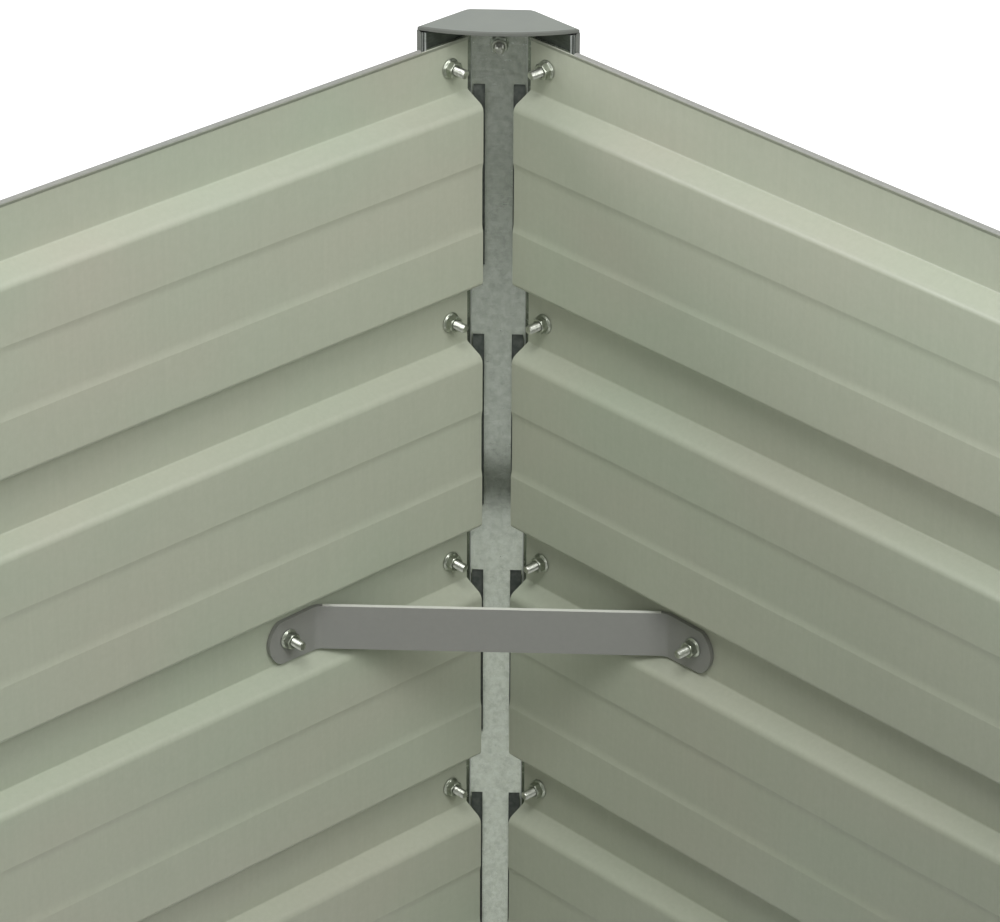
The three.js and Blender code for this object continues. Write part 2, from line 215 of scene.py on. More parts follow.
# Its place in millimetres from the middle of the rear right web's inner face, at the panels'
# top. Across is to the right in the picture and back is towards the viewer.
CAMERA_ACROSS = 65.9
CAMERA_BACK = 2074.1
CAMERA_UP = 878.7
CAMERA_YAW = math.radians(-1.78)
CAMERA_PITCH = math.radians(28.53)
CAMERA_ROLL = math.radians(0.33)
CAMERA_LENS = 158.26
SENSOR_WIDTH = 36
CAMERA_SIGHT = 50


def make_camera():
    across = Vector((COS45, -COS45, 0))
    back = Vector((-COS45, -COS45, 0))
    up = Vector((0, 0, 1))
    corner = Vector((FLANGE_X - CHAMFER / 2, FLANGE_Y - CHAMFER / 2, PANEL_HEIGHT))
    place = corner + across * CAMERA_ACROSS + back * CAMERA_BACK + up * CAMERA_UP
    level = across * math.sin(CAMERA_YAW) - back * math.cos(CAMERA_YAW)
    ahead = level * math.cos(CAMERA_PITCH) - up * math.sin(CAMERA_PITCH)
    side = across * math.cos(CAMERA_YAW) + back * math.sin(CAMERA_YAW)
    top = side.cross(ahead)
    right = side * math.cos(CAMERA_ROLL) + top * math.sin(CAMERA_ROLL)
    top = right.cross(ahead)
    data = bpy.data.cameras.new("camera")
    data.lens = CAMERA_LENS
    data.sensor_width = SENSOR_WIDTH
    data.clip_end = CAMERA_SIGHT
    camera = bpy.data.objects.new("camera", data)
    facing = Matrix((right, top, -ahead)).transposed().to_4x4()
    camera.matrix_world = Matrix.Translation(place * MM) @ facing
    bpy.context.scene.collection.objects.link(camera)
    bpy.context.scene.camera = camera


# ---------------------------------------------------------------- materials


class Nodes:
    """A material's node tree, with short ways to add to it."""

    def __init__(self, name):
        self.material = bpy.data.materials.new(name)
        self.material.use_nodes = True
        self.tree = self.material.node_tree
        self.shader = self.tree.nodes["Principled BSDF"]
        self.coordinates = self.tree.nodes.new("ShaderNodeTexCoord")

    def add(self, kind, values=None, **settings):
        node = self.tree.nodes.new(kind)
        for key, value in settings.items():
            setattr(node, key, value)
        for socket, value in (values or {}).items():
            if isinstance(value, bpy.types.NodeSocket):
                self.tree.links.new(value, node.inputs[socket])
            else:
                node.inputs[socket].default_value = value
        return node

    def stretched(self, scale):
        """Object coordinates in metres, multiplied by scale along each axis."""
        values = {"Vector": self.coordinates.outputs["Object"], "Scale": scale}
        return self.add("ShaderNodeMapping", values).outputs["Vector"]

    def noise(self, scale, size=(1, 1, 1), detail=3.0, roughness=0.55):
        values = {"Vector": self.stretched(size), "Scale": scale}
        values |= {"Detail": detail, "Roughness": roughness}
        return self.add("ShaderNodeTexNoise", values).outputs["Fac"]

    def ramp(self, value, low, high, to_low=0.0, to_high=1.0):
        values = {"Value": value, "From Min": low, "From Max": high}
        values |= {"To Min": to_low, "To Max": to_high}
        return self.add("ShaderNodeMapRange", values).outputs["Result"]

    def maths(self, operation, first, second):
        node = self.add("ShaderNodeMath", {0: first, 1: second}, operation=operation)
        return node.outputs["Value"]

    def times(self, first, second):
        return self.maths("MULTIPLY", first, second)

    def mix(self, share, first, second):
        node = self.add("ShaderNodeMix", data_type="RGBA")
        for socket, value in ((0, share), (6, first), (7, second)):
            if isinstance(value, bpy.types.NodeSocket):
                self.tree.links.new(value, node.inputs[socket])
            else:
                node.inputs[socket].default_value = value
        return node.outputs[2]

    def bump(self, height, strength, distance):
        values = {"Height": height, "Strength": strength, "Distance": distance}
        return self.add("ShaderNodeBump", values).outputs["Normal"]

    def set(self, **values):
        """Sets or links the shader's sockets, named with underscores for spaces."""
        for key, value in values.items():
            socket = self.shader.inputs[key.replace("_", " ")]
            if isinstance(value, bpy.types.NodeSocket):
                self.tree.links.new(value, socket)
            else:
                socket.default_value = value
        return self.material


def shade(red, green, blue):
    """A colour given as it shows on screen, 11 to 255, as linear light."""
    return tuple(((c / 255 + 0.055) / 1.055) ** 2.4 for c in (red, green, blue)) + (1.0,)


PAINT_SPECKS = shade(200, 202, 190)
PAINT_STREAKS = shade(140, 145, 130)
ZINC_BLOTS = shade(112, 118, 110)


def painted(name, colour, green, warm, roughness=0.42, grain=0.05, dust=0.1, streaks=0.0):
    """Powder-coated steel: soft drifts of tint, specks, a fine orange peel and a satin sheen.

    dust and streaks are the strongest share of the specks and of faint upright lines.
    """
    n = Nodes(name)
    drift = n.ramp(n.noise(5.5, (1, 1, 1.6), 2), 0.36, 0.64)
    tint = n.mix(drift, warm, green)
    patches = n.ramp(n.noise(2.1, (1, 1, 2), 3), 0.3, 0.7)
    body = n.mix(patches, colour, tint)
    specks = n.ramp(n.noise(330, detail=2), 0.35, 0.75, 0.0, dust)
    final = n.mix(specks, body, PAINT_SPECKS)
    if streaks:
        lines = n.ramp(n.noise(420, (1, 1, 0.06), 3, 0.7), 0.35, 0.65, 0.0, streaks)
        final = n.mix(lines, final, PAINT_STREAKS)
    peel = n.noise(900, detail=2)
    gloss = n.ramp(n.noise(28, detail=4), 0.3, 0.7, roughness - 0.04, roughness + 0.06)
    normal = n.bump(peel, grain, 0.0002)
    return n.set(Base_Color=final, Roughness=gloss, Normal=normal, Metallic=0.0, IOR=1.5)


def galvanised(name, colour, dark, pale):
    """Galvanised sheet: dull zinc with a faint spangle, and short rolling marks."""
    n = Nodes(name)
    cloud = n.ramp(n.noise(130, (1, 1, 0.7), 5, 0.6), 0.34, 0.68)
    base = n.mix(cloud, dark, colour)
    marks = n.ramp(n.noise(130, (1, 1, 12), 3, 0.7), 0.5, 0.72)
    base = n.mix(n.times(marks, 0.3), base, pale)
    rough = n.ramp(n.noise(90, (1, 1, 12), 4, 0.65), 0.3, 0.7, 0.3, 0.46)
    normal = n.bump(n.noise(150, (1, 1, 12), 3), 0.1, 0.0003)
    return n.set(Base_Color=base, Roughness=rough, Metallic=0.85, Normal=normal)


def post_sheet(name, high, middle, low, pale):
    """The post's galvanised sheet: blotchy spangle, faint rolling marks, and a colour that changes
    with height, which is a painted reflection.

    high, middle and low are its colours above 0.59 m, halfway up and below 0.29 m.
    """
    n = Nodes(name)
    level = n.add("ShaderNodeSeparateXYZ", {"Vector": n.coordinates.outputs["Object"]}).outputs["Z"]
    wander = n.ramp(n.noise(14, detail=4), 0.3, 0.7, -0.03, 0.03)
    level = n.maths("ADD", level, wander)
    # Painted reflection: the colour steps from low to middle to high up the post.
    base = n.mix(n.ramp(level, 0.52, 0.59), middle, high)
    base = n.mix(n.ramp(level, 0.29, 0.36), low, base)
    blots = n.ramp(n.noise(300, (1, 1, 0.8), 6, 0.7), 0.38, 0.56, 0.28, 0.0)
    base = n.mix(blots, base, ZINC_BLOTS)
    grid = {"Vector": n.stretched((1, 1, 1)), "Scale": 330.0}
    spangle = n.add("ShaderNodeTexVoronoi", grid, feature="F1").outputs["Color"]
    base = n.mix(n.ramp(spangle, 0.0, 1.0, 0.0, 0.2), base, pale)
    marks = n.ramp(n.noise(120, (1, 1, 14), 4, 0.7), 0.5, 0.76)
    base = n.mix(n.times(marks, 0.12), base, pale)
    rough = n.ramp(n.noise(150, (1, 1, 3), 4, 0.65), 0.3, 0.7, 0.2, 0.28)
    normal = n.bump(n.noise(160, (1, 1, 6), 3), 0.05, 0.0003)
    return n.set(Base_Color=base, Roughness=rough, Metallic=0.95, Normal=normal)


def moulded(name, colour, pale):
    """Matte moulded cap: fine spark-eroded grain and faint handling marks."""
    n = Nodes(name)
    drift = n.ramp(n.noise(40, detail=3), 0.35, 0.7)
    base = n.mix(drift, colour, pale)
    normal = n.bump(n.noise(2400, detail=2), 0.12, 0.0002)
    rough = n.ramp(n.noise(130, detail=4), 0.3, 0.7, 0.6, 0.66)
    n.set(Metallic=0.0, Specular_IOR_Level=0.3)
    return n.set(Base_Color=base, Roughness=rough, Normal=normal)


def zinc(name, colour, dark, roughness):
    """Zinc plate with a slight tarnish in patches."""
    n = Nodes(name)
    tarnish = n.ramp(n.noise(420, detail=3), 0.4, 0.7)
    base = n.mix(tarnish, colour, dark)
    rough = n.ramp(n.noise(700, detail=2), 0.3, 0.7, roughness - 0.05, roughness + 0.06)
    return n.set(Base_Color=base, Roughness=rough, Metallic=1.0)


def make_materials():
    """The part's materials, each with its colours as (red, green, blue) on screen."""
    paints = {
        "sage": ("sage_paint", (171, 176, 159), (168, 177, 158), (175, 175, 159)),
        "cover": ("cover_paint", (128, 133, 124), (126, 134, 124), (132, 133, 124)),
        # Painted shade: the cover's hollow side, seen through the post's windows.
        "cover_inside_shade": ("cover_inside_shade", (62, 68, 64), (60, 69, 64), (66, 67, 62)),
        "brace": ("brace_paint", (131, 132, 128), (129, 132, 128), (133, 132, 127)),
        # Painted highlight: the brace's upper cut edge between its bends.
        "brace_highlight": ("brace_highlight", (212, 214, 207), (206, 209, 202), (216, 216, 208)),
        # Painted highlight: the panels' cut edges take a pale colour.
        "edge": ("panel_edge_highlight", (200, 203, 190), (196, 203, 190), (203, 203, 188)),
        # Painted reflection: a neutral grey on the top hem's upper face.
        "rim": ("panel_rim_reflection", (145, 146, 141), (142, 145, 139), (148, 146, 140)),
        # Painted shade: the neck under the top hem's bead.
        "neck_shade": ("panel_neck_shade", (138, 142, 128), (135, 142, 128), (141, 141, 128)),
    }
    finishes = {
        "sage": {"streaks": 0.08},
        "cover_inside_shade": {"roughness": 0.5},
        "brace": {"roughness": 0.4, "grain": 0.03, "dust": 0.02},
        "brace_highlight": {"roughness": 0.35},
        "edge": {"roughness": 0.35},
    }
    sheets = {
        "cut": ("cut_steel", (150, 154, 150), (120, 126, 120), (170, 174, 170)),
        # Painted highlight: the folds' inner bend faces.
        "fold": ("fold_highlight_zinc", (165, 169, 164), (148, 152, 147), (178, 181, 176)),
        # Painted shade: the flanges' tops under the cap.
        "cap_shade": ("cap_shade_zinc", (84, 89, 85), (66, 71, 67), (108, 112, 108)),
    }
    # The post sheet's colours high, middle and low, then its pale marks; the change with height is
    # a painted reflection.
    post_colours = ((191, 197, 190), (164, 171, 160), (174, 181, 168), (214, 219, 212))
    made = {}
    for key, (name, *colours) in paints.items():
        made[key] = painted(name, *(shade(*c) for c in colours), **finishes.get(key, {}))
    for key, (name, *colours) in sheets.items():
        made[key] = galvanised(name, *(shade(*c) for c in colours))
    made["galvanised"] = post_sheet("galvanised_sheet", *(shade(*c) for c in post_colours))
    made["cap"] = moulded("cap_grey", shade(138, 143, 137), shade(142, 147, 140))
    # Painted shade: a darker grey on the cap's faces towards the bed.
    made["cap_side_shade"] = moulded("cap_side_shade", shade(104, 107, 102), shade(109, 112, 106))
    made["zinc"] = zinc("bright_zinc", shade(192, 195, 186), shade(156, 159, 150), 0.34)
    made["nut_zinc"] = zinc("dull_zinc", shade(178, 183, 171), shade(140, 146, 133), 0.38)
    return made


# ---------------------------------------------------------------- sheet pieces

# The sides of a swept sheet.
LEFT, RIGHT, CUT_EDGE = range(3)

# Smoothing and rounding, in degrees and segments.
SMOOTH_UP_TO = 32
ROUND_FROM = 50
ROUND_SEGMENTS = 2


def ribbon(line, thickness, steps):
    """The two faces of a sheet bent along a centreline of (x, y) or (x, y, bend) points.

    Returns the points of the left face, those of the right face, and for each corner of the
    line the index of its last point. A bend has as many cells as steps.
    """
    points = [np.array(p[:2], float) for p in line]
    left, right, last = [], [], []

    def put(centre, outward):
        left.append(centre + outward * thickness / 2)
        right.append(centre - outward * thickness / 2)

    for i, point in enumerate(points):
        before = points[max(i - 1, 0)]
        after = points[min(i + 1, len(points) - 1)]
        arriving = (point - before) if i else (after - point)
        leaving = (after - point) if i < len(points) - 1 else arriving
        arriving = arriving / np.linalg.norm(arriving)
        leaving = leaving / np.linalg.norm(leaving)
        turn = math.atan2(arriving[0] * leaving[1] - arriving[1] * leaving[0], arriving @ leaving)
        bend = line[i][2] if len(line[i]) > 2 else 0
        normal = np.array([-arriving[1], arriving[0]])
        if not bend or abs(turn) < 1e-6:
            middle = arriving + leaving
            middle = middle / np.linalg.norm(middle)
            put(point, np.array([-middle[1], middle[0]]) / math.cos(turn / 2))
        else:
            side = math.copysign(1, turn)
            start = point - arriving * bend * math.tan(abs(turn) / 2)
            centre = start + normal * side * bend
            for step in range(steps + 1):
                angle = turn * step / steps
                cosine, sine = math.cos(angle), math.sin(angle)
                x, y = normal
                out = np.array([x * cosine - y * sine, x * sine + y * cosine])
                put(centre - out * side * bend, out)
        last.append(len(left) - 1)
    return np.array(left), np.array(right), last


def plate(left, right, stations, place, missing=None):
    """A closed sheet swept over stations, with cells left out where missing(i, j) is true.

    place(point, station, index) gives a vertex. Returns vertices, faces, and for each face its
    side, which is LEFT, RIGHT or CUT_EDGE, and its cell along the line.
    """
    rows, columns = len(left), len(stations)
    vertices = [
        place(side[i], t, i) for side in (left, right) for t in stations for i in range(rows)
    ]

    def at(side, i, j):
        return (side * columns + j) * rows + i

    def present(i, j):
        inside = 0 <= i < rows - 1 and 0 <= j < columns - 1
        return inside and not (missing and missing(i, j))

    faces, sides, cells = [], [], []
    for j in range(columns - 1):
        for i in range(rows - 1):
            if not present(i, j):
                continue
            a, b, c, d = (i, j), (i + 1, j), (i + 1, j + 1), (i, j + 1)
            faces.append([at(LEFT, *p) for p in (a, b, c, d)])
            faces.append([at(RIGHT, *p) for p in (d, c, b, a)])
            sides += [LEFT, RIGHT]
            cells += [i, i]
            borders = [(i, j - 1, a, b), (i + 1, j, b, c), (i, j + 1, c, d), (i - 1, j, d, a)]
            for beside, beyond, p, q in borders:
                if not present(beside, beyond):
                    faces.append([at(LEFT, *q), at(LEFT, *p), at(RIGHT, *p), at(RIGHT, *q)])
                    sides.append(CUT_EDGE)
                    cells.append(i)
    return vertices, faces, sides, cells


def make_mesh(name, vertices, faces, looks, materials, sharp=SMOOTH_UP_TO):
    """A mesh in metres with smooth bends and sharp cut edges; unused vertices are dropped.

    looks holds the index of each face's material.
    """
    used = sorted({v for face in faces for v in face})
    index = {v: i for i, v in enumerate(used)}
    points = [tuple(float(c) * MM for c in vertices[v]) for v in used]
    mesh = bpy.data.meshes.new(name)
    mesh.from_pydata(points, [], [[index[v] for v in face] for face in faces])
    for material in materials:
        mesh.materials.append(material)
    mesh.polygons.foreach_set("material_index", looks)
    mesh.polygons.foreach_set("use_smooth", [True] * len(faces))
    mesh.update()
    mesh.set_sharp_from_angle(angle=math.radians(sharp))
    return mesh


def settled(mesh, place):
    """A copy of a mesh with its place in its vertices, so that its box is no larger than it is."""
    copy = mesh.copy()
    copy.transform(place)
    return copy


def make_object(name, mesh, place, slot, replaced, bevel=0.0):
    """Puts a mesh in the scene, on the bed's one body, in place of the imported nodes."""
    piece = bpy.data.objects.new(name, mesh)
    bpy.context.scene.collection.objects.link(piece)
    piece.matrix_world = place
    if bevel:
        rounding = piece.modifiers.new("edge", "BEVEL")
        rounding.width = bevel * MM
        rounding.segments = ROUND_SEGMENTS
        rounding.limit_method = "ANGLE"
        rounding.angle_limit = math.radians(ROUND_FROM)
    weighted = piece.modifiers.new("normals", "WEIGHTED_NORMAL")
    weighted.keep_sharp = True
    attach(piece, "root")
    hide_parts(*replaced)


# ---------------------------------------------------------------- wall panels
# A wall's own frame: X along the wall, +Y out of the bed, y = 0 on the flange's inner face.

# Where a panel's line has the neck, the bead's foot and top, and the turn of the top hem.
NECK_CORNER, BEAD_FOOT, BEAD_TOP, HEM_TURN = -5, -4, -3, -2
BOTTOM_TURN = 2

# A panel's looks, in the order of its materials: the sage, a pale colour on the cut edges (a
# painted highlight), a neutral grey on the top hem's upper face (a painted reflection) and a darker
# sage on the neck under the bead (a painted shade).
SAGE, EDGE, RIM_REFLECTION, NECK_SHADE = range(4)


def panel_line():
    """The centreline of a panel's cross section as (y, z, bend), from the lower hem upwards."""
    strip = -(PLAY + PANEL_SHEET / 2)
    crest = strip - RIB_DEPTH
    leaf = strip + HEM_WIDTH
    foot = PANEL_SHEET / 2
    head = PANEL_HEIGHT - PANEL_SHEET / 2
    line = [(leaf, HEM_LEAF), (leaf, foot, HEM_BEND), (strip, foot, HEM_BEND)]
    for rib in range(RIB_COUNT):
        base = STRIP + rib * RIB_PITCH
        middle = base + SLOPE + CREST / 2
        floor = crest + GROOVE_DEPTH
        line += [
            (strip, base, RIB_BEND),
            (crest, base + SLOPE - CREST_FOOT_DROP, CREST_FOOT_BEND),
            (crest, middle - GROOVE_MOUTH / 2, GROOVE_LIP),
            (floor, middle - GROOVE_FLOOR / 2, GROOVE_BEND),
            (floor, middle + GROOVE_FLOOR / 2, GROOVE_BEND),
            (crest, middle + GROOVE_MOUTH / 2, GROOVE_LIP),
            (crest, base + SLOPE + CREST + CREST_HEAD_LIFT, CREST_HEAD_BEND),
            (strip, base + 2 * SLOPE + CREST, RIB_BEND),
        ]
    return line + [
        (strip, head - NECK_FADE, NECK_FADE_BEND),
        (strip - NECK_SINK, head - NECK_HEIGHT, NECK_BEND),
        (strip - BEAD, head - BEAD_HEIGHT, BEAD_BEND),
        (strip - BEAD, head, TOP_HEM_BEND),
        (strip + TOP_HEM_WIDTH, head, TOP_HEM_BEND),
        (strip + TOP_HEM_WIDTH, PANEL_HEIGHT - HEM_LEAF),
    ]


def slack(x, z, reach, phase):
    """How far thin sheet stands off flat between its bolted ends, in millimetres."""
    held = min(1.0, max(0.0, (reach - abs(x)) / SLACK_FADE)) ** 2
    short = math.sin(x / SHORT_WAVE_ALONG + phase) * math.sin(z / SHORT_WAVE_UP + 2 * phase)
    long = math.sin(x / LONG_WAVE_ALONG - phase + z / LONG_WAVE_UP)
    return SLACK * held * (short + LONG_WAVE_SHARE * long)


def panel_mesh(name, fold, phase, materials):
    """A panel between the folds of two posts, with its hems notched at both ends."""
    left, right, last = ribbon(panel_line(), PANEL_SHEET, PANEL_BEND_STEPS)
    reach = fold - PANEL_SETBACK
    notch = fold - HEM_NOTCH
    middle = np.linspace(-notch, notch, PANEL_CELLS + 1)
    ends = np.linspace(notch, reach, NOTCH_CELLS + 1)[1:]
    stations = [-x for x in ends[::-1]] + list(middle) + list(ends)
    bottom_fold = last[BOTTOM_TURN]
    top_fold = last[BEAD_TOP] - PANEL_BEND_STEPS

    def place(point, x, _):
        return (x, point[0] + slack(x, point[1], reach, phase), point[1])

    def missing(i, j):
        notched = j < len(ends) or j >= len(ends) + len(middle) - 1
        return notched and (i < bottom_fold or i >= top_fold)

    vertices, faces, sides, cells = plate(left, right, stations, place, missing)
    # Painted reflection: the top hem's upper face takes a neutral grey.
    rim = range(top_fold, last[HEM_TURN])
    # Painted shade: the neck under the bead, where the bead's shadow falls, takes a darker sage.
    neck_shade = range(last[NECK_CORNER] - PANEL_BEND_STEPS // 2, last[BEAD_FOOT])

    def look(side, cell):
        # Painted highlight: the cut edges are paler.
        if side == CUT_EDGE:
            return EDGE
        if side == RIGHT:
            return SAGE
        return RIM_REFLECTION if cell in rim else NECK_SHADE if cell in neck_shade else SAGE

    looks = [look(*each) for each in zip(sides, cells)]
    return make_mesh(name, vertices, faces, looks, materials)


def make_panels(materials):
    paints = [materials[name] for name in ("sage", "edge", "rim", "neck_shade")]
    quarter = math.pi / 2
    walls = {
        "rear_panel": (FOLD_X, (0, FLANGE_Y), 0, 0.4),
        "front_panel": (FOLD_X, (0, -FLANGE_Y), 2 * quarter, 2.1),
        "right_panel": (FOLD_Y, (FLANGE_X, 0), -quarter, 3.3),
        "left_panel": (FOLD_Y, (-FLANGE_X, 0), quarter, 5.2),
    }
    for node, (fold, (x, y), turn, phase) in walls.items():
        mesh = panel_mesh(node, fold, phase, paints)
        place = Matrix.Translation((x * MM, y * MM, 0)) @ Matrix.Rotation(turn, 4, "Z")
        make_object("ribbed_" + node, mesh, place, "panel_paint", [node])


# ---------------------------------------------------------------- corner pieces
# A corner's own frame: +Y out of the bed along the diagonal, y = 0 on the web's inner face.

# An inner post's looks, in the order of its materials. The flanges' tops under the cap, from a mark
# just below the panels' top, take a darker zinc: painted shade of the cap.
SHEET, CUT, FOLD, UNDER_CAP_SHADE = range(4)
SHADE_MARK = 1

# A cap's looks, and a brace's. The cap's bowed edge, leg ends and underside take a darker grey, a
# painted shade; the brace's upper cut edge between its bends takes a pale colour, a painted
# highlight.
TOP, SIDE_SHADE = range(2)
PAINT, PAINTED_HIGHLIGHT = range(2)


def beside_flange(side, along, inward):
    """A point beside a flange: along it from the fold, and inward off its inner face."""
    return (side * (WEB / 2 + (along - inward) * COS45), -(along + inward) * COS45)


def channel_line(offset, leg):
    """The centreline of a channel that follows the post at an outward offset."""
    fold = WEB / 2 + offset * TAN22
    bend = POST_BEND + offset
    tips = [beside_flange(side, leg, -offset) for side in (-1, 1)]
    return [tips[0], (-fold, offset, bend), (fold, offset, bend), tips[1]]


def corner_place(name):
    sign_x, sign_y = CORNERS[name]
    middle = (sign_x * (FLANGE_X - CHAMFER / 2) * MM, sign_y * (FLANGE_Y - CHAMFER / 2) * MM, 0)
    turn = math.atan2(sign_y, sign_x) - math.pi / 2
    return Matrix.Translation(middle) @ Matrix.Rotation(turn, 4, "Z")


def upright(point, z, _):
    return (point[0], point[1], z)


def window_levels():
    """The lower and upper edges of the post's windows, from the lowest up."""
    levels = []
    for pair in range(RIB_COUNT):
        top = PANEL_HEIGHT - WINDOW_DROP - pair * WINDOW_PITCH
        levels = [top - WINDOW_HEIGHT, top] + levels
    return levels


def inner_post_mesh(materials):
    """The galvanised channel, with a pair of relief windows in its web at every rib.

    Its line has a tip, a fold, the five marks of the windows, a fold and a tip.
    """
    line = channel_line(POST_SHEET / 2, FLANGE)
    y = POST_SHEET / 2
    marks = [-WINDOW_OUTER, -WINDOW_INNER, 0, WINDOW_INNER, WINDOW_OUTER]
    line = line[:2] + [(x, y) for x in marks] + line[2:]
    left, right, last = ribbon(line, POST_SHEET, CHANNEL_BEND_STEPS)
    first_fold, second_fold = last[1], last[7]
    window_cells = (last[2], last[5])
    levels = window_levels()
    stations = [0.0] + levels + [POST_HEIGHT]
    stations[-1:-1] = [(levels[-1] + POST_HEIGHT) / 2, PANEL_HEIGHT - SHADE_MARK]

    def missing(i, j):
        at_window = j % 2 == 1 and j < len(levels)
        return at_window and i in window_cells

    vertices, faces, sides, cells = plate(left, right, stations, upright, missing)
    folds = [range(fold - CHANNEL_BEND_STEPS, fold) for fold in (first_fold, second_fold)]

    def look(face, side, cell):
        if side == CUT_EDGE:
            return CUT
        # Painted highlight: the inner faces of the folds' bends take a zinc of their own.
        if side == RIGHT and any(cell in fold for fold in folds):
            return FOLD
        on_flange = cell < folds[0].start or cell >= second_fold
        # Painted shade: flange faces under the cap take a darker zinc.
        under_cap = min(vertices[v][2] for v in face) > PANEL_HEIGHT - SHADE_MARK - 1
        return UNDER_CAP_SHADE if under_cap and on_flange else SHEET

    looks = [look(*each) for each in zip(faces, sides, cells)]
    return make_mesh("inner_post", vertices, faces, looks, materials)


def cover_mesh(materials):
    """The painted cover outside the post; its hollow side is painted dark, a painted shade seen
    through the post's windows, and its looks are its sides.
    """
    line = channel_line(COVER_INNER + COVER_SHEET / 2, COVER_FLANGE)
    left, right, _ = ribbon(line, COVER_SHEET, CHANNEL_BEND_STEPS)
    stations = list(np.linspace(0, POST_HEIGHT, COVER_CELLS + 1))
    vertices, faces, sides, _ = plate(left, right, stations, upright)
    return make_mesh("post_cover", vertices, faces, sides, materials)


def brace_mesh(materials):
    """Flat bar with turned ends, its tips cut round.

    Near a tip the bar's height grows with the root of the distance from the end, up to the
    bar's own height. The higher BRACE_TIP_POWER is, the shorter the change between the two.
    """
    offset = BRACE_BACK + BRACE_SHEET / 2
    line = [
        beside_flange(-1, BRACE_END, offset),
        (*beside_flange(-1, BRACE_START, offset), BRACE_BEND),
        (*beside_flange(1, BRACE_START, offset), BRACE_BEND),
        beside_flange(1, BRACE_END, offset),
    ]
    count = BRACE_TIP_STEPS
    steps = [BRACE_TIP * (step / count) ** 2 for step in range(1, count + 1)]
    tips = [[beside_flange(side, BRACE_END - step, offset) for step in steps] for side in (-1, 1)]
    line = line[:1] + tips[0] + line[1:3] + tips[1][::-1] + line[3:]
    left, right, _ = ribbon(line, BRACE_SHEET, BRACE_BEND_STEPS)
    half = BRACE_HEIGHT / 2
    end = np.array(line[0][:2])
    other = np.array(line[-1][:2])

    def place(point, share, _):
        reach = min(np.linalg.norm(point - end), np.linalg.norm(point - other))
        distance = math.sqrt(max(0.0, reach**2 - (BRACE_SHEET / 2) ** 2))
        bow = (half + BRACE_TIP_SPARE) * math.sqrt(distance / BRACE_TIP)
        bow = max(BRACE_TIP_FLAT, bow)
        whole = half**BRACE_TIP_POWER + bow**BRACE_TIP_POWER
        height = half * bow / whole ** (1 / BRACE_TIP_POWER)
        return (point[0], point[1], BRACE_Z + height * share)

    levels = list(np.linspace(-1, 1, BRACE_CELLS + 1))
    vertices, faces, sides, _ = plate(left, right, levels, place)
    reach = abs(line[0][0] * BRACE_START / BRACE_END)
    # Painted highlight: the upper cut edge between the bends takes a pale colour, as where light
    # from above falls on it.
    level = BRACE_Z + BRACE_HIGHLIGHT_FROM * half

    def in_highlight(face):
        return all(vertices[v][2] > level and abs(vertices[v][0]) < reach for v in face)

    looks = [PAINTED_HIGHLIGHT if s == CUT_EDGE and in_highlight(f) else PAINT for s, f in zip(sides, faces)]
    return make_mesh("corner_brace", vertices, faces, looks, materials)


# ---------------------------------------------------------------- cap


def arc(centre, radius, start, end, steps):
    angles = [start + (end - start) * i / steps for i in range(steps + 1)]
    return [(centre[0] + radius * math.cos(a), centre[1] + radius * math.sin(a)) for a in angles]


def tongue_edge(x):
    """How far the skirt hangs below the cap's top, at a distance x from the chamfer's middle."""
    beyond = abs(x) - CAP_TONGUE_HALF
    if beyond <= 0:
        return CAP_TONGUE
    if beyond >= CAP_TONGUE_ROUND:
        return CAP_SKIRT
    share = beyond / CAP_TONGUE_ROUND
    return CAP_SKIRT + (CAP_TONGUE - CAP_SKIRT) * (1 - math.sqrt(1 - (1 - share) ** 2))


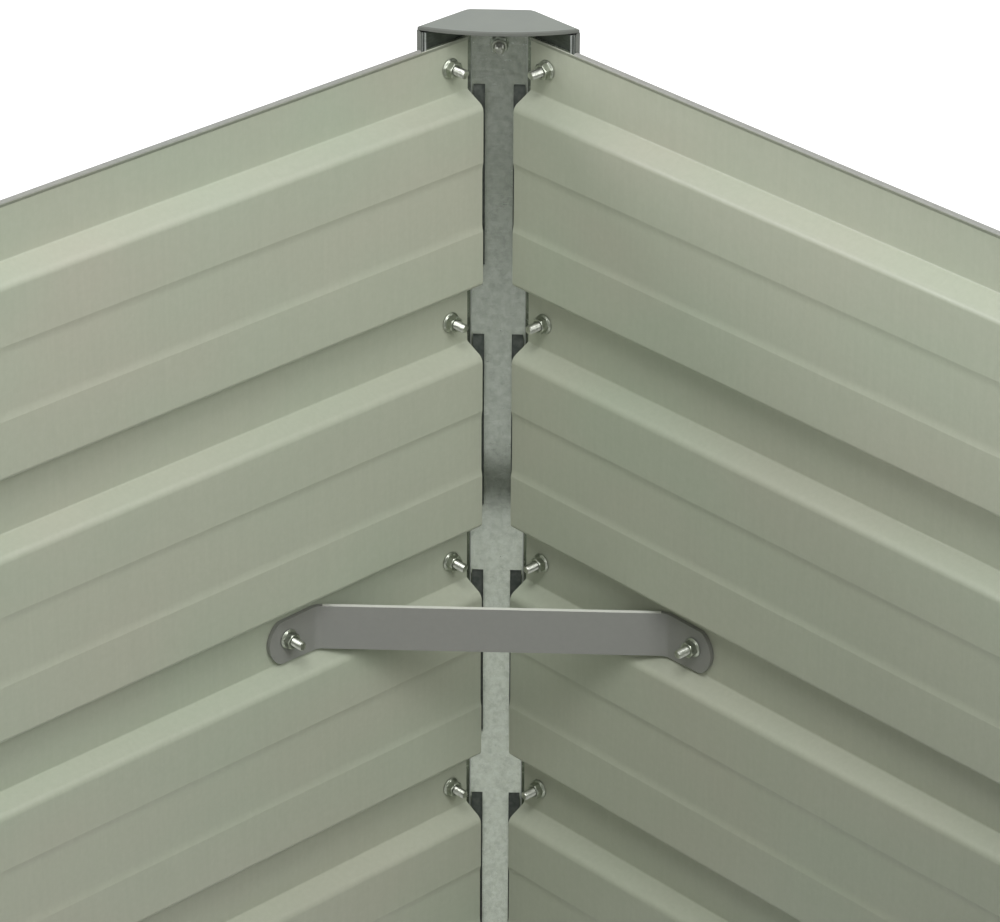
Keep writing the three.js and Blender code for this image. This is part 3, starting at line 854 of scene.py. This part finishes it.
def cap_mesh(materials):
    """Hood: a flat top with a bowed edge over the bed, and a skirt round the post's outside."""
    line = channel_line(CAP_INNER + CAP_WALL / 2, CAP_LEG)
    y = CAP_INNER + CAP_WALL / 2
    edge = CAP_TONGUE_HALF
    past = edge + CAP_TONGUE_MARK
    marks = [-past, -edge, -edge / 2, 0, edge / 2, edge, past]
    line = line[:2] + [(x, y) for x in marks] + line[2:]
    outer, inner, _ = ribbon(line, CAP_WALL, CAP_BEND_STEPS)
    tip = outer[-1]
    radius = (tip[0] ** 2 + CAP_BOW**2) / (2 * CAP_BOW)
    centre = (0, tip[1] - CAP_BOW + radius)
    swing = math.asin(tip[0] / radius)
    bow = arc(centre, radius, swing - math.pi / 2, -swing - math.pi / 2, CAP_BOW_STEPS)[1:-1]
    rim = [tuple(p) for p in outer] + bow
    count, skirt = len(rim), len(outer)
    vertices, faces, looks = [], [], []

    def ring(points, z):
        """Adds a row of vertices at a height, or at one that depends on the point."""
        first = len(vertices)
        vertices.extend((p[0], p[1], z(p) if callable(z) else z) for p in points)
        return list(range(first, first + len(points)))

    def inset(distance):
        """The rim moved inward all round."""
        result = []
        for i, point in enumerate(rim):
            before, after = np.array(rim[i - 1]), np.array(rim[(i + 1) % count])
            one = np.array(point) - before
            two = after - np.array(point)
            one, two = one / np.linalg.norm(one), two / np.linalg.norm(two)
            normal = np.array([one[1], -one[0]]) + np.array([two[1], -two[0]])
            normal = normal / (normal @ normal) * 2
            result.append(tuple(np.array(point) + normal * distance))
        return result

    def band(lower, upper, closed):
        size = len(lower)
        for i in range(size if closed else size - 1):
            k = (i + 1) % size
            faces.append([lower[k], lower[i], upper[i], upper[k]])
            # Painted shade on the bowed edge's band.
            looks.append(SIDE_SHADE if closed and i >= skirt - 1 else TOP)

    edge_low = ring(rim, CAP_UNDERSIDE)
    edge_high = ring(rim, CAP_TOP - CAP_BEVEL)
    band(edge_low, edge_high, True)
    previous = edge_high
    for step in range(1, CAP_BEVEL_STEPS + 1):
        angle = math.pi / 2 * step / CAP_BEVEL_STEPS
        distance = CAP_BEVEL * (1 - math.cos(angle))
        level = ring(inset(distance), CAP_TOP - CAP_BEVEL + CAP_BEVEL * math.sin(angle))
        band(previous, level, True)
        previous = level
    faces.append(previous[::-1])
    looks.append(TOP)
    foot = ring(outer, lambda p: CAP_TOP - tongue_edge(p[0]))
    band(foot, edge_low[:skirt], False)
    inner_foot = ring(inner, lambda p: CAP_TOP - tongue_edge(p[0]))
    inner_top = ring(inner, CAP_UNDERSIDE)
    band(inner_top, inner_foot, False)
    band(inner_foot, foot, False)
    faces.append([inner_top[0], inner_foot[0], foot[0], edge_low[0]])
    faces.append([inner_top[-1], edge_low[skirt - 1], foot[-1], inner_foot[-1]])
    faces.append(inner_top + edge_low[skirt - 1 :] + [edge_low[0]])
    looks += [SIDE_SHADE] * 3
    return make_mesh("post_cap", vertices, faces, looks, materials)


# ---------------------------------------------------------------- fasteners
# Along Y: the seat is at y = 0, a bolt's head is outside (+Y) and its shank or a nut inside.

FASTENER_SMOOTH_UP_TO = 38


def lathe(rows, sides):
    """A closed body of revolution whose radius and height may change around the turn.

    rows are (radius, height) pairs of numbers or functions of the angle, from the lowest
    point of the axis to the highest. A first or last row of radius None is one point.
    """

    def value(item, angle):
        return item(angle) if callable(item) else item

    vertices, faces, rings = [], [], []
    for radius, height in rows:
        if radius is None:
            vertices.append((0, height, 0))
            rings.append([len(vertices) - 1] * sides)
            continue
        first = len(vertices)
        for i in range(sides):
            angle = 2 * math.pi * i / sides
            r = value(radius, angle)
            vertices.append((r * math.sin(angle), value(height, angle), r * math.cos(angle)))
        rings.append(list(range(first, first + sides)))
    for low, high in zip(rings, rings[1:]):
        for i in range(sides):
            k = (i + 1) % sides
            corners = [low[i], low[k], high[k], high[i]]
            faces.append([v for n, v in enumerate(corners) if v not in corners[:n]])
    return vertices, faces


def cross_recess(angle):
    """The radius of a cross-shaped drive at an angle."""
    folded = abs((angle + math.pi / 4) % (math.pi / 2) - math.pi / 4)
    return min(RECESS_ARM / math.cos(folded), RECESS_HALF / max(math.sin(folded), 0.05))


def bolt_shape():
    """Pan head bolt with a rolled thread."""
    rows = [(None, -SHANK_LENGTH), (SHANK - SHANK_POINT, -SHANK_LENGTH)]
    level = -SHANK_LENGTH + SHANK_POINT_HEIGHT
    step = THREAD_PITCH / THREAD_STEPS
    while level < THREAD_END:
        turned = level

        def radius(angle, turned=turned):
            phase = (turned / THREAD_PITCH + angle / (2 * math.pi)) % 1
            return SHANK - THREAD_DEPTH * min(1, 1.25 * abs(2 * phase - 1))

        rows.append((radius, level))
        level += step
    rows += [(SHANK - 0.05, -6.0), (SHANK, -0.2), (SHANK + 0.15, 0), (HEAD_RADIUS - 0.1, 0)]
    for share in (0.08, 0.3, 0.55, 0.8):
        angle = share * math.pi / 2
        radius = HEAD_TOP + (HEAD_RADIUS - HEAD_TOP) * math.cos(angle) ** 0.6
        height = HEAD_HEIGHT * (0.3 + 0.7 * math.sin(angle)) if share > 0.1 else 0.35
        rows.append((radius, height))
    rows += [
        (HEAD_TOP, HEAD_HEIGHT),
        (cross_recess, HEAD_HEIGHT + 0.02),
        (lambda a: RECESS_TAPER * cross_recess(a), HEAD_HEIGHT - 1.4),
        (None, HEAD_HEIGHT - 1.9),
    ]
    return lathe(rows, BOLT_SIDES)


def hexagon(angle):
    """The nut's radius at an angle."""
    folded = abs(angle % (math.pi / 3) - math.pi / 6)
    return NUT_FLATS / 2 / math.cos(math.pi / 6 - folded)


def nut_shape(flange):
    """Flange nut with chamfered corners and a bore, standing inward from its seat."""
    top = -NUT_HEIGHT

    def bounded(limit):
        return lambda angle: min(hexagon(angle), limit)

    rows = [
        (NUT_BORE + 0.45, top),
        (bounded(NUT_FLATS / 2 - 0.1), top),
        (bounded(NUT_FLATS / 2 + 0.15), top + 0.2),
        (bounded(NUT_FLATS / 2 + 0.45), top + 0.5),
        (hexagon, top + 0.9),
        (hexagon, -NUT_FLANGE_HEIGHT - 0.25),
        (lambda a: hexagon(a) + 0.15, -NUT_FLANGE_HEIGHT),
        (flange - 0.35, -NUT_FLANGE_HEIGHT + 0.3),
        (flange, -NUT_FLANGE_HEIGHT + 0.65),
        (flange, -0.2),
        (flange - 0.2, 0),
        (NUT_BORE + 0.3, 0),
        (NUT_BORE, -0.3),
        (NUT_BORE, top + 0.45),
    ]
    vertices, faces = lathe(rows + rows[:1], NUT_SIDES)
    seam = len(vertices) - NUT_SIDES
    faces = [[v - seam if v >= seam else v for v in face] for face in faces]
    return vertices[:seam], faces


def fastener_mesh(name, shape, material):
    vertices, faces = shape
    outward = [face[::-1] for face in faces]
    return make_mesh(name, vertices, outward, [0] * len(faces), [material], FASTENER_SMOOTH_UP_TO)


def seat(side, along, inward, z):
    """Where a fastener's seat is, in a corner's frame, turned to its flange."""
    x, y = beside_flange(side, along, inward)
    turn = Matrix.Rotation(-side * math.pi / 4, 4, "Z")
    return Matrix.Translation((x * MM, y * MM, z * MM)) @ turn


def spun(angle):
    return Matrix.Rotation(angle, 4, "Y")


# ---------------------------------------------------------------- assembly


def make_fastener(name, mesh, place, replaced):
    make_object(name, mesh, place, "zinc_fastener", [replaced])


def make_corners(materials):
    """The four corners, alike but for the turns at which their fasteners were tightened."""
    steel = [materials[name] for name in ("galvanised", "cut", "fold", "cap_shade")]
    shell = [materials["cover"], materials["cover_inside_shade"], materials["cut"]]
    post = inner_post_mesh(steel)
    cover = cover_mesh(shell)
    brace = brace_mesh([materials["brace"], materials["brace_highlight"]])
    cap = cap_mesh([materials["cap"], materials["cap_side_shade"]])
    bolt = fastener_mesh("pan_head_bolt", bolt_shape(), materials["zinc"])
    nut = fastener_mesh("flange_nut", nut_shape(NUT_FLANGE_RADIUS), materials["nut_zinc"])
    small = nut_shape(CAP_NUT_FLANGE_RADIUS)
    cap_nut = fastener_mesh("small_flange_nut", small, materials["nut_zinc"])
    sheets = [
        ("post_channel", post, "galvanised_steel", "inner_post", 0.0),
        ("post_cover", cover, "cover_paint", "outer_post", 0.0),
        ("cap", cap, "cap_grey", "post_cap", CAP_EDGE_ROUND),
        ("brace", brace, "brace_paint", "corner_brace", BRACE_EDGE_ROUND),
    ]
    cap_seat = Matrix.Translation((0, (CAP_OUTER + PLAY) * MM, CAP_BOLT_Z * MM))
    cap_inside = Matrix.Translation((0, -PLAY * MM, CAP_BOLT_Z * MM)) @ spun(0.3)
    for count, name in enumerate(CORNERS):
        place = corner_place(name)
        for piece, mesh, slot, node, bevel in sheets:
            whole = settled(mesh, place)
            make_object(f"{piece}_{name}", whole, Matrix(), slot, [f"{node}_{name}"], bevel)
        make_fastener(f"cap_screw_{name}", bolt, place @ cap_seat, f"cap_bolt_{name}")
        make_fastener(f"cap_flange_nut_{name}", cap_nut, place @ cap_inside, f"cap_nut_{name}")
        for label, side in (("a", -1), ("b", 1)):
            end = f"{label}_{name}"
            head = place @ seat(side, BRACE_HOLE, 0, BRACE_BOLT_Z)
            make_fastener(f"brace_screw_{end}", bolt, head, f"brace_bolt_{end}")
            foot = place @ seat(side, BRACE_HOLE, BRACE_FACE + PLAY, BRACE_BOLT_Z)
            foot = foot @ spun(0.2 + side)
            make_fastener(f"brace_flange_nut_{end}", nut, foot, f"brace_nut_{end}")
            for row, level in enumerate(BOLT_ROWS):
                label_row = f"{label}{row + 1}_{name}"
                turn = spun(1.7 * row + 2.3 * side + count)
                outside = place @ seat(side, BOLT_FROM_FOLD, -COVER_OUTER, level) @ turn
                make_fastener(f"wall_screw_{label_row}", bolt, outside, f"outer_post_{name}")
                inside = place @ seat(side, BOLT_FROM_FOLD, BRACE_BACK, level) @ turn
                make_fastener(f"wall_flange_nut_{label_row}", nut, inside, f"outer_post_{name}")


# ---------------------------------------------------------------- stage

LAMP_TARGET = (0.2, 0.15, 0.4)
LAMP_REACH = 3.0
LAMP_SIZE = 1.3

# Name, azimuth and elevation in degrees, and power in watts.
LAMPS = [
    ("key_high_front_left", 225, 62, 38.6),
    ("key_high_front", 270, 62, 5.2),
    ("fill_front", 270, 40, 31.6),
    ("fill_front_right", 315, 40, 3.3),
    ("low_rear_left", 135, 18, 37.3),
    ("low_front_left", 225, 18, 20.3),
    ("low_right", 0, 18, 20.0),
]
WORLD_LEVEL = 0.3

# The floor shows as white beyond FAR from the middle. Up to NEAR it shows less of its own white,
# so that the bed's shadow stays.
FLOOR_HALF = 9.0
FLOOR_GREY = (0.5, 0.5, 0.5, 1)
WHITE = (1, 1, 1, 1)
NEAR, FAR = 1.0, 2.2
GLOW_NEAR = 0.45


def make_floor():
    size = FLOOR_HALF
    corners = [(-size, -size, 0), (size, -size, 0), (size, size, 0), (-size, size, 0)]
    mesh = bpy.data.meshes.new("floor")
    mesh.from_pydata(corners, [], [(0, 1, 2, 3)])
    floor = bpy.data.objects.new("floor", mesh)
    bpy.context.scene.collection.objects.link(floor)
    n = Nodes("floor")
    n.set(Base_Color=FLOOR_GREY, Roughness=0.9)
    path = n.add("ShaderNodeLightPath")
    seen = path.outputs["Is Camera Ray"]
    for kind in ("Is Glossy Ray", "Is Transmission Ray"):
        seen = n.maths("MAXIMUM", seen, path.outputs[kind])
    spot = {0: n.coordinates.outputs["Object"]}
    away = n.add("ShaderNodeVectorMath", spot, operation="LENGTH").outputs["Value"]
    glow = n.ramp(away, NEAR, FAR, GLOW_NEAR, 1.0)
    n.set(Emission_Color=WHITE, Emission_Strength=n.times(seen, glow))
    mesh.materials.append(n.material)


def make_world(strength):
    """Even light of a strength on the bed, and white behind it and in its reflections."""
    world = bpy.data.worlds.new("studio")
    bpy.context.scene.world = world
    world.use_nodes = True
    tree = world.node_tree
    background = tree.nodes["Background"]
    path = tree.nodes.new("ShaderNodeLightPath")
    seen = path.outputs["Is Camera Ray"]
    for kind in ("Is Glossy Ray", "Is Transmission Ray"):
        either = tree.nodes.new("ShaderNodeMath")
        either.operation = "MAXIMUM"
        tree.links.new(seen, either.inputs[0])
        tree.links.new(path.outputs[kind], either.inputs[1])
        seen = either.outputs["Value"]
    level = tree.nodes.new("ShaderNodeMapRange")
    level.inputs["To Min"].default_value = strength
    level.inputs["To Max"].default_value = 1.0
    tree.links.new(seen, level.inputs["Value"])
    background.inputs["Color"].default_value = WHITE
    tree.links.new(level.outputs["Result"], background.inputs["Strength"])


def make_lamp(name, azimuth, elevation, power):
    """A round soft lamp at LAMP_REACH from its target, in the direction given in degrees."""
    azimuth, elevation = math.radians(azimuth), math.radians(elevation)
    level = math.cos(elevation)
    away = Vector((level * math.cos(azimuth), level * math.sin(azimuth), math.sin(elevation)))
    data = bpy.data.lights.new(name, "AREA")
    data.shape = "DISK"
    data.size = LAMP_SIZE
    data.energy = power
    lamp = bpy.data.objects.new(name, data)
    bpy.context.scene.collection.objects.link(lamp)
    lamp.location = Vector(LAMP_TARGET) + away * LAMP_REACH
    lamp.rotation_euler = (-away).to_track_quat("-Z", "Y").to_euler()


def make_light():
    make_world(WORLD_LEVEL)
    for lamp in LAMPS:
        make_lamp(*lamp)


make_camera()
make_floor()
make_light()
made = make_materials()
make_panels(made)
make_corners(made)

bpy.context.scene.view_settings.view_transform = "Standard"
